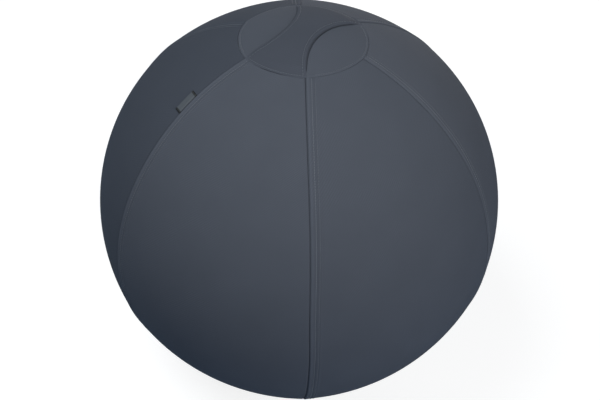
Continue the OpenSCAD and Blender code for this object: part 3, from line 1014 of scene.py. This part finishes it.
FOOT_T = -(BASE_Z - 2.1*MM)/math.sin(BASE_ANGLE)
BASE_ROW = -10.8*MM
BASE_STEPS = [x*MM for x in (0, 0.5, 1.1, 2, 3, 4, 4.7, 5.3, 6, 7, 9)]
BASE_COLUMNS, SLOPE_ROWS = 360, 22


def base_top(azimuth):
    """Upper edge of the base panel on the slope: the base seam, or the zip's edge."""
    return -0.1*MM - in_zip(azimuth)*(ZIP_GAP/2 - 0.1*MM)


def base_relief(azimuth, t, top_t):
    ripple = uneven_ring(azimuth, BASE_R, 61)
    folds = math.sin(math.radians(azimuth)*64 + 2.4*math.sin(math.radians(azimuth)*5))
    height = -1.2*MM*bell(top_t - t, 1.3*MM)
    height -= (0.40 + 0.15*ripple)*MM*bell(t - BASE_ROW, 1.1*MM)
    height += 0.10*MM*ripple*bell(t - BASE_ROW, 5*MM)
    return height - 0.32*MM*(1 + folds)*bell(t - FOOT_T, 13*MM)


def lay_base(i, j):
    azimuth = 360*i/BASE_COLUMNS
    top_t = base_top(azimuth)
    n = len(BASE_STEPS) - 1
    t = top_t - BASE_STEPS[min(j, n)]
    if j > n:
        t += (FOOT_T - t)*(j - n)/SLOPE_ROWS
    p = slope_point(azimuth, t, base_relief(azimuth, t, top_t))
    return p, (math.radians(azimuth)*0.12, t)


bm = cloth_grid(BASE_COLUMNS, len(BASE_STEPS) - 1 + SLOPE_ROWS, lay_base)
close_up(bm)
face_away(bm, (0, 0, 0.2))
base = piece_from(bm, "base_panel_cloth", KNIT_PAINTED_SHADE, "base_panel")
thicken(base, CLOTH_T)
print("base panel", len(base.data.polygons), "faces")

# %% Stitches round the base
BASE_ROW_R = 0.14


def on_base_row(s):
    azimuth = math.degrees(s/BASE_ROW_R)
    return on_face(lambda out: slope_point(azimuth, BASE_ROW, out),
                   base_relief(azimuth, BASE_ROW, base_top(azimuth)))


bm = bmesh.new()
count = sew(bm, on_base_row, 0, 2*math.pi*BASE_ROW_R)
piece_from(bm, "base_seam_stitches", THREAD, "base_seam_thread")
print(count, "stitches round the base")

# %% [markdown]
# ## Zip
# The zip lets the inner ball in, and it sits under the overhang where nobody sees or
# feels it. Its tapes are thin herringbone ribbons, its teeth one coil of nylon on each
# side. One loop of the coil is a small rounded bead, slanted like the real winding, and
# the two sides are half a step apart so that they mesh.

# %% Zip finishes
def tape_finish():
    mat, tree, shader = finish_named("zip_tape_weave", Roughness=0.75, Specular_IOR_Level=0.2)
    flat = add(tree, "ShaderNodeUVMap", uv_map="flat").outputs[0]
    cut = add(tree, "ShaderNodeSeparateXYZ", {0: flat})
    fold = maths(tree, "PINGPONG", cut.outputs[0], 1.5*MM)
    slant = maths(tree, "ADD", fold, cut.outputs[1])
    twill = wave(tree, slant, 0.7*MM)
    colour_between(tree, shader, maths(tree, "MULTIPLY_ADD", twill, 0.5, 0.5),
                   (0.014, 0.015, 0.018), (0.03, 0.032, 0.037))
    raise_bumps(tree, shader, twill, 0.6, 0.08*MM)
    return mat


def moulded_finish(name, colour, roughness, grain=0.03*MM, scale=300.0, **numbers):
    """Moulded or cast surface: a fine grain, slow colour change and smudged gloss."""
    mat, tree, shader = finish_named(name, Roughness=roughness, **numbers)
    where = add(tree, "ShaderNodeTexCoord").outputs["Object"]
    slow = cloudy(tree, where, scale/8, 4.0)
    colour_between(tree, shader, slow, shade(colour, 0.78), shade(colour, 1.2))
    gloss = maths(tree, "MULTIPLY_ADD", slow, 0.25, roughness - 0.12)
    tree.links.new(gloss, shader.inputs["Roughness"])
    raise_bumps(tree, shader, cloudy(tree, where, scale*5, 3.0), 0.5, grain)
    return mat


TAPE = tape_finish()
COIL = moulded_finish("coil_nylon", (0.022, 0.024, 0.028), 0.38)
METAL = moulded_finish("dark_lacquer", (0.06, 0.065, 0.07), 0.34, Metallic=0.7)

# %% Zip tapes and guard
ZIP_STEPS, ZIP_ROWS = 10, 240


def zip_strip(name, t0, t1, n0, n1, thickness, finish, node):
    """Ribbon along the zip from t0 at depth n0 up to t1 at depth n1."""
    def lay(i, j):
        azimuth = ZIP_FROM + (ZIP_TO - ZIP_FROM)*j/ZIP_ROWS
        share = i/ZIP_STEPS
        t = t0 + (t1 - t0)*share
        return (slope_point(azimuth, t, n0 + (n1 - n0)*share),
                (t, math.radians(azimuth)*BASE_R))

    bm = cloth_grid(ZIP_STEPS, ZIP_ROWS, lay)
    face_away(bm, (0, 0, CENTRE_Z))
    obj = piece_from(bm, name, finish, node)
    thicken(obj, thickness)


zip_strip("zip_tape_upper_ribbon", 0.9*MM, 14.9*MM, -1.3*MM, -1.75*MM, 0.6*MM, TAPE,
          "zip_tape_upper")
zip_strip("zip_tape_lower_ribbon", -0.9*MM, -14.9*MM, -1.3*MM, -1.3*MM, 0.6*MM, TAPE,
          "zip_tape_lower")
zip_strip("zip_guard_cloth", -14*MM, 14*MM, -3.8*MM, -3.8*MM, 0.8*MM, KNIT_PAINTED_SHADE,
          "zip_guard")

# %% Zip coils
COIL_STEP, COIL_OFF = 1.5*MM, 1.68*MM
LOOP_SIZE = (1.33*MM, 0.66*MM, 1.1*MM)


def coil_side(node, side):
    """Row of loops on one side of the zip; side is 1 above and -1 below."""
    total = bmesh.new()
    count = int(math.radians(ZIP_TO - ZIP_FROM)*BASE_R/COIL_STEP)
    loop = bead_of(8, 5)
    matrices = []
    for k in range(count):
        azimuth = ZIP_FROM + (k + (0.75 if side > 0 else 0.25))*(ZIP_TO - ZIP_FROM)/count
        middle = slope_point(azimuth, side*COIL_OFF)
        up_slope = slope_point(azimuth + 0.09*side, side*(COIL_OFF + MM))
        outwards = slope_point(azimuth, side*COIL_OFF, MM) - middle
        matrices.append(laid_along(middle, up_slope, outwards, LOOP_SIZE))
    place_copies(total, loop, matrices)
    loop.free()
    return piece_from(total, node + "_loops", COIL, node), count


for node, side in (("zip_coil_upper", 1), ("zip_coil_lower", -1)):
    coil, count = coil_side(node, side)
    print(coil.name, count, "loops")

# %% [markdown]
# ## Disc, ballast, inner ball and valve
# The ball stands on a ribbed rubber disc. The rings are cut along a radius and turned
# once round the axis with the spin operator. The sewn ballast sleeve and the inner ball
# are turned in the same way; nobody sees them until the cover is open, but they are part
# of how the ball works.

# %% Turned pieces
def turned_piece(name, section, finish, node, steps=128, close=True):
    """Turn a section of (radius, height) points round the upright axis."""
    bm = bmesh.new()
    points = [bm.verts.new((r, 0, z)) for r, z in section]
    ends = points + points[:1] if close else points
    edges = [bm.edges.new(pair) for pair in zip(ends, ends[1:])]
    bmesh.ops.spin(bm, geom=points + edges, cent=(0, 0, 0), axis=(0, 0, 1),
                   angle=2*math.pi, steps=steps, use_merge=True)
    close_up(bm)
    bmesh.ops.recalc_face_normals(bm, faces=bm.faces)
    return piece_from(bm, name, finish, node)


def round_corner(centre_r, centre_z, radius, start, steps=6):
    """Quarter circle of a section, from this angle on, anticlockwise."""
    return [(centre_r + radius*math.cos(math.radians(start + 90*k/steps)),
             centre_z + radius*math.sin(math.radians(start + 90*k/steps)))
            for k in range(steps + 1)]


RUBBER = moulded_finish("grip_rubber", (0.030, 0.030, 0.032), 0.8, grain=0.08*MM)
disc_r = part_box("base_disc")[1].x
lip = 0.9*MM
ribs = []
for k in range(19):
    r = 8*MM + k*4*MM
    ribs += [(r, 0), (r + 2.2*MM, 0), (r + 2.7*MM, 0.6*MM), (r + 3.5*MM, 0.6*MM)]
section = ([(0.0, 0.0)] + ribs + round_corner(disc_r - lip, lip, lip, -90)
           + round_corner(disc_r - lip, 1.1*MM, lip, 0) + [(0.0, 2*MM)])
disc = turned_piece("base_disc_ribbed", section, RUBBER, "base_disc")
print("disc", len(disc.data.polygons), "faces, radius", round(disc_r, 4))

# %% Ballast sleeve and fill
def cloth_finish(name, colour, step):
    """Plain weave from Object coordinates: over and under in both directions."""
    mat, tree, shader = finish_named(name, Roughness=0.85, Specular_IOR_Level=0.15)
    where = add(tree, "ShaderNodeTexCoord").outputs["Object"]
    cut = add(tree, "ShaderNodeSeparateXYZ", {0: where})
    warp, weft, up = (wave(tree, out, step) for out in cut.outputs)
    weave = maths(tree, "ADD", maths(tree, "MULTIPLY", warp, weft), up)
    colour_between(tree, shader, maths(tree, "MULTIPLY_ADD", weave, 0.25, 0.5),
                   shade(colour, 0.7), colour)
    raise_bumps(tree, shader, weave, 0.5, 0.1*MM)
    return mat


low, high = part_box("ballast_sleeve")
bulge = 7*MM
inner_r, outer_r, z0, z1 = 36*MM, high.x, low.z, high.z
section = (round_corner(outer_r - bulge, z0 + bulge, bulge, -90)
           + round_corner(outer_r - bulge, z1 - bulge, bulge, 0)
           + round_corner(inner_r + bulge, z1 - bulge, bulge, 90)
           + round_corner(inner_r + bulge, z0 + bulge, bulge, 180))
sleeve = turned_piece("ballast_sleeve_cloth", section,
                      cloth_finish("ballast_weave", (0.21, 0.22, 0.23), 0.9*MM),
                      "ballast_sleeve")
for v in sleeve.data.vertices:
    a = math.atan2(v.co.y, v.co.x)
    pleats = 1 + math.sin(a*40 + 2*math.sin(a*7))
    v.co += v.normal*(-0.25*MM)*pleats*bell(v.co.z - 11.7*MM, 6*MM)
thicken(sleeve, 0.7*MM)


def sand_finish():
    mat, tree, shader = finish_named("dry_sand", Roughness=0.9)
    where = add(tree, "ShaderNodeTexCoord").outputs["Object"]
    grains = add(tree, "ShaderNodeTexVoronoi", {"Vector": where, "Scale": 1400.0})
    colour_between(tree, shader, grains.outputs["Color"], (0.42, 0.33, 0.22),
                   (0.75, 0.66, 0.5))
    raise_bumps(tree, shader, grains.outputs[0], 0.8, 0.3*MM)
    return mat


# %% Inner ball
VINYL = moulded_finish("ball_vinyl", (0.30, 0.32, 0.34), 0.42, scale=60.0)
BALL_R, FLAT_Z = 319.2*MM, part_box("inner_ball")[0].z
SKIN_IN, RIB_UP, DOME_STEPS = 4.95*MM, 0.3*MM, 120
cone = [(p.x, p.z) for p in (slope_point(90, t*MM, -SKIN_IN) for t in range(-36, 37, 6))]
dome = []
for k in range(DOME_STEPS + 1):
    theta = math.radians(180 - BASE_DEGREES - 6.9)*(1 - k/DOME_STEPS)
    rib = RIB_UP*bell(math.sin(theta*18), 0.4) if 0.08 < theta < 0.5 else 0.0
    reach = BALL_R - RIB_UP + rib
    dome.append((reach*math.sin(theta), CENTRE_Z + reach*math.cos(theta)))
section = [(7.7*MM, FLAT_Z), (60*MM, FLAT_Z), (112*MM, FLAT_Z + 0.1*MM)] + cone + dome
inner = turned_piece("inner_ball_vinyl", section, VINYL, "inner_ball",
                     steps=144, close=False)
thicken(inner, 1*MM)
print("inner ball", len(inner.data.polygons), "faces")

# %% [markdown]
# ## Finishes for the small hard parts
# The slider, its tab and the two stops are lacquered metal, the valve's tube is the
# ball's vinyl and its plug is moulded plastic. Their solids already have the right
# shape, so they only get a finish, and fine rounded edges where metal was pressed.

# %% Finishes on the solid parts
PLUG = moulded_finish("plug_plastic", (0.74, 0.74, 0.71), 0.4, grain=0.02*MM)
for node, finish in {"zip_slider": METAL, "zip_pull_tab": METAL, "zip_stop_start": METAL,
                     "zip_stop_end": METAL, "valve_tube": VINYL, "valve_plug": PLUG,
                     "ballast_fill": sand_finish()}.items():
    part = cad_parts[node]
    part.data.materials.clear()
    part.data.materials.append(finish)
    if finish is METAL:
        weld = part.modifiers.new("weld", "WELD")
        weld.merge_threshold = 0.005*MM
        edge = part.modifiers.new("rounded_edges", "BEVEL")
        edge.width, edge.segments, edge.limit_method = 0.15*MM, 2, "ANGLE"
    print(node, "has", finish.name)
